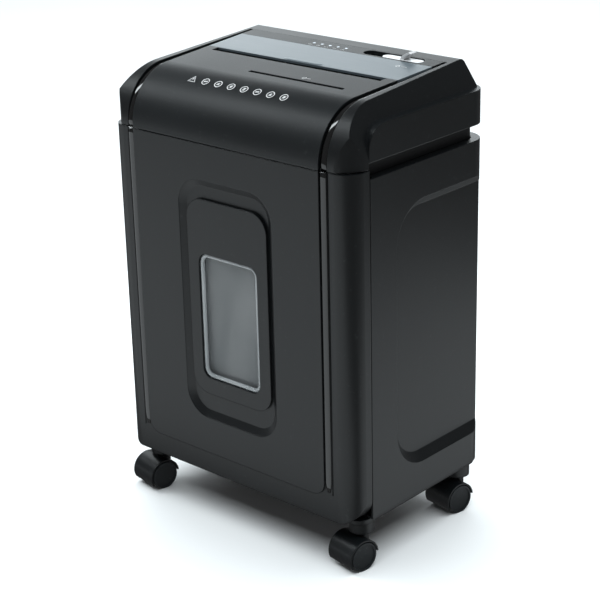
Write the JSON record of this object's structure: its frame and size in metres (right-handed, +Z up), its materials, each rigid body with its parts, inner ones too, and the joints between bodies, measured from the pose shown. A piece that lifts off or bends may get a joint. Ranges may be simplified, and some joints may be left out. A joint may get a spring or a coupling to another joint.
{
  "type": "paper shredder",
  "caption": "Upright paper shredder with a slotted cutter head over a pull-out bin with a window, a slide switch and swivelling twin-wheel casters.",
  "frame": {"origin": "on the floor, under the middle of the machine", "axes": "+Z up; the front, with the window, faces -Y; +X is to the right seen from the front"},
  "size_m": [0.3316, 0.222, 0.4995],
  "materials": {
    "case_plastic": "satin moulded",
    "panel_plastic": "fine matte grain",
    "gloss_black": "high gloss",
    "guide_plastic": "brushed satin",
    "knob_plastic": "semi-gloss, light",
    "lamp_plastic": "translucent look",
    "inner_plastic": "plain moulded",
    "clear_pane": "clear, moulded",
    "tub_plastic": "plain moulded",
    "caster_plastic": "plain moulded",
    "wheel_plastic": "plain moulded",
    "steel": "ground",
    "dark_steel": "blackened",
    "gear_plastic": "plain moulded",
    "board": "laminate"
  },
  "bodies": {
    "cabinet": {"case_shell": "case_plastic", "bin_rails": "inner_plastic", "base_plate": "case_plastic", "head_shell": "case_plastic", "head_panel": "panel_plastic", "guide_plate": "guide_plastic", "control_strip": "panel_plastic", "lamp_lenses": "lamp_plastic", "switch_tray": "inner_plastic", "switch_block": "inner_plastic", "head_trim_left": "gloss_black", "head_trim_right": "gloss_black", "paper_throat": "inner_plastic", "chassis_tray": "inner_plastic", "control_board": "board", "board_parts": "inner_plastic", "board_posts": "inner_plastic", "interlock_switch": "inner_plastic", "frame_plate_left": "dark_steel", "frame_plate_right": "dark_steel", "shaft_bushes": "gear_plastic", "tie_rods": "steel", "stripper_comb_front": "dark_steel", "stripper_comb_rear": "dark_steel", "stage_pin": "steel", "motor_can": "dark_steel", "cord_gland": "inner_plastic", "head_screws": "dark_steel", "frame_screws": "steel"},
    "bin": {"bin_front": "case_plastic", "bin_trim_left": "gloss_black", "bin_trim_right": "gloss_black", "window_bezel": "case_plastic", "window_pane": "clear_pane", "bin_tub": "tub_plastic", "bin_brackets": "tub_plastic"},
    "slider": {"switch_knob": "knob_plastic"},
    "cutter_front": {"cutter_shaft_front": "steel", "cutter_discs_front": "dark_steel", "sync_gear_front": "dark_steel"},
    "cutter_rear": {"cutter_shaft_rear": "steel", "cutter_discs_rear": "dark_steel", "sync_gear_rear": "dark_steel", "drive_gear": "gear_plastic"},
    "stage": {"stage_gear": "gear_plastic"},
    "rotor": {"motor_rotor": "steel", "motor_pinion": "steel"},
    "swivel_front_left": {"caster_hood_front_left": "caster_plastic"},
    "wheel_left_front_left": {"caster_wheel_left_front_left": "wheel_plastic"},
    "wheel_right_front_left": {"caster_wheel_right_front_left": "wheel_plastic"},
    "swivel_front_right": {"caster_hood_front_right": "caster_plastic"},
    "wheel_left_front_right": {"caster_wheel_left_front_right": "wheel_plastic"},
    "wheel_right_front_right": {"caster_wheel_right_front_right": "wheel_plastic"},
    "swivel_rear_left": {"caster_hood_rear_left": "caster_plastic"},
    "wheel_left_rear_left": {"caster_wheel_left_rear_left": "wheel_plastic"},
    "wheel_right_rear_left": {"caster_wheel_right_rear_left": "wheel_plastic"},
    "swivel_rear_right": {"caster_hood_rear_right": "caster_plastic"},
    "wheel_left_rear_right": {"caster_wheel_left_rear_right": "wheel_plastic"},
    "wheel_right_rear_right": {"caster_wheel_right_rear_right": "wheel_plastic"}
  },
  "joints": [
    {"name": "bin_slide", "type": "slide", "parent": "cabinet", "child": "bin", "axis": [0, -1, 0], "range_m": [0, 0.17]},
    {"name": "switch_slide", "type": "slide", "parent": "cabinet", "child": "slider", "axis": [1, 0, 0], "range_m": [-0.024, 0]},
    {"name": "rotor_spin", "type": "hinge", "parent": "cabinet", "child": "rotor", "pos_m": [0.055, 0.062, 0.3719], "axis": [1, 0, 0], "continuous": true},
    {"name": "stage_spin", "type": "hinge", "parent": "cabinet", "child": "stage", "pos_m": [0.135, 0.0436, 0.4046], "axis": [1, 0, 0], "continuous": true},
    {"name": "cutter_rear_spin", "type": "hinge", "parent": "cabinet", "child": "cutter_rear", "pos_m": [0, 0.016, 0.424], "axis": [1, 0, 0], "continuous": true},
    {"name": "cutter_front_spin", "type": "hinge", "parent": "cabinet", "child": "cutter_front", "pos_m": [0, -0.013, 0.424], "axis": [1, 0, 0], "continuous": true},
    {"name": "swivel_front_left", "type": "hinge", "parent": "cabinet", "child": "swivel_front_left", "pos_m": [-0.145, -0.076, 0.035], "axis": [0, 0, 1], "continuous": true},
    {"name": "wheel_left_front_left", "type": "hinge", "parent": "swivel_front_left", "child": "wheel_left_front_left", "pos_m": [-0.14691, -0.08683, 0.0155], "axis": [0.9848, -0.1736, 0], "continuous": true},
    {"name": "wheel_right_front_left", "type": "hinge", "parent": "swivel_front_left", "child": "wheel_right_front_left", "pos_m": [-0.14691, -0.08683, 0.0155], "axis": [0.9848, -0.1736, 0], "continuous": true},
    {"name": "swivel_front_right", "type": "hinge", "parent": "cabinet", "child": "swivel_front_right", "pos_m": [0.145, -0.076, 0.035], "axis": [0, 0, 1], "continuous": true},
    {"name": "wheel_left_front_right", "type": "hinge", "parent": "swivel_front_right", "child": "wheel_left_front_right", "pos_m": [0.14309, -0.08683, 0.0155], "axis": [0.9848, -0.1736, 0], "continuous": true},
    {"name": "wheel_right_front_right", "type": "hinge", "parent": "swivel_front_right", "child": "wheel_right_front_right", "pos_m": [0.14309, -0.08683, 0.0155], "axis": [0.9848, -0.1736, 0], "continuous": true},
    {"name": "swivel_rear_left", "type": "hinge", "parent": "cabinet", "child": "swivel_rear_left", "pos_m": [-0.145, 0.086, 0.035], "axis": [0, 0, 1], "continuous": true},
    {"name": "wheel_left_rear_left", "type": "hinge", "parent": "swivel_rear_left", "child": "wheel_left_rear_left", "pos_m": [-0.14691, 0.07517, 0.0155], "axis": [0.9848, -0.1736, 0], "continuous": true},
    {"name": "wheel_right_rear_left", "type": "hinge", "parent": "swivel_rear_left", "child": "wheel_right_rear_left", "pos_m": [-0.14691, 0.07517, 0.0155], "axis": [0.9848, -0.1736, 0], "continuous": true},
    {"name": "swivel_rear_right", "type": "hinge", "parent": "cabinet", "child": "swivel_rear_right", "pos_m": [0.145, 0.086, 0.035], "axis": [0, 0, 1], "continuous": true},
    {"name": "wheel_left_rear_right", "type": "hinge", "parent": "swivel_rear_right", "child": "wheel_left_rear_right", "pos_m": [0.14309, 0.07517, 0.0155], "axis": [0.9848, -0.1736, 0], "continuous": true},
    {"name": "wheel_right_rear_right", "type": "hinge", "parent": "swivel_rear_right", "child": "wheel_right_rear_right", "pos_m": [0.14309, 0.07517, 0.0155], "axis": [0.9848, -0.1736, 0], "continuous": true}
  ],
  "couplings": [
    {"joint": "stage_spin", "follows": "rotor_spin", "ratio": -0.25},
    {"joint": "cutter_rear_spin", "follows": "rotor_spin", "ratio": 0.0875},
    {"joint": "cutter_front_spin", "follows": "rotor_spin", "ratio": -0.0875}
  ]
}
